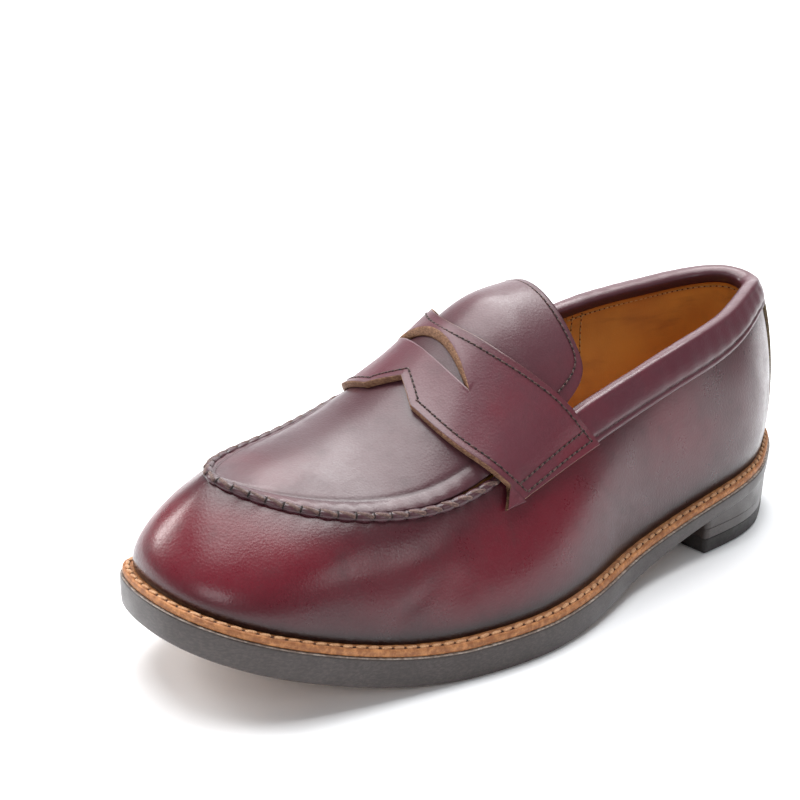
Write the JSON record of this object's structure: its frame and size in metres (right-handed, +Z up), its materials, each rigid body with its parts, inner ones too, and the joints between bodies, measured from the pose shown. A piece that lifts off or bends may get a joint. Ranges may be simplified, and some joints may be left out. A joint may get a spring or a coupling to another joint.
{
  "type": "penny loafer",
  "caption": "Left penny loafer with a moccasin-seam apron, slotted saddle strap, rounded tongue, collar band, all-round welt and low stacked heel.",
  "frame": {"origin": "on the floor, at the middle of the shoe's length and of its width", "axes": "+Z up, -Y towards the toe, +X towards the outer (lateral) side of this left shoe"},
  "size_m": [0.1076, 0.3, 0.1101],
  "materials": {
    "upper": "smooth polished oxblood leather, burnished red at the toe",
    "apron": "smooth plum-brown leather, semi-gloss",
    "strap": "smooth plum leather with raw tan edges",
    "tongue": "smooth plum leather, stitched grey edge",
    "collar": "smooth plum leather, folded",
    "strip": "smooth plum leather with raw tan edges",
    "lining": "ochre-tan lining leather, satin",
    "stiffener": "impregnated stiffening cloth",
    "welt": "natural tan leather with light lock stitches",
    "insole": "vegetable-tanned shoulder",
    "rib": "canvas-covered rib",
    "cork": "granulated cork",
    "shank": "sprung steel",
    "nails": "drawn brass",
    "outsole": "dark brown waxed edge, semi-gloss",
    "heel_stack": "dark brown waxed edge, semi-gloss",
    "top_lift": "dark rubber, satin"
  },
  "bodies": {
    "root": {"outsole": "outsole", "top_lift": "top_lift", "heel_lift": "heel_stack", "heel_wedge": "heel_stack", "heel_nail_1": "nails", "heel_nail_2": "nails", "heel_nail_3": "nails", "heel_nail_4": "nails", "welt": "welt", "insole": "insole", "insole_rib": "rib", "cork_filler": "cork", "shank": "shank", "sock_liner": "lining", "vamp_wall": "upper", "apron": "apron", "moccasin_seam": "upper", "saddle_strap": "strap", "collar_band": "collar", "heel_strip": "strip", "vamp_lining": "lining", "heel_lining": "lining", "side_lining_outer": "lining", "side_lining_inner": "lining", "heel_counter": "stiffener", "toe_puff": "stiffener"},
    "tongue": {"tongue": "tongue", "tongue_lining": "lining"}
  },
  "joints": [
    {"name": "tongue_lift", "type": "hinge", "parent": "root", "child": "tongue", "pos_m": [0, -0.01, 0.095], "axis": [1, 0, 0], "range_deg": [-3, 20], "stiffness_Nm_per_rad": 0.1}
  ]
}
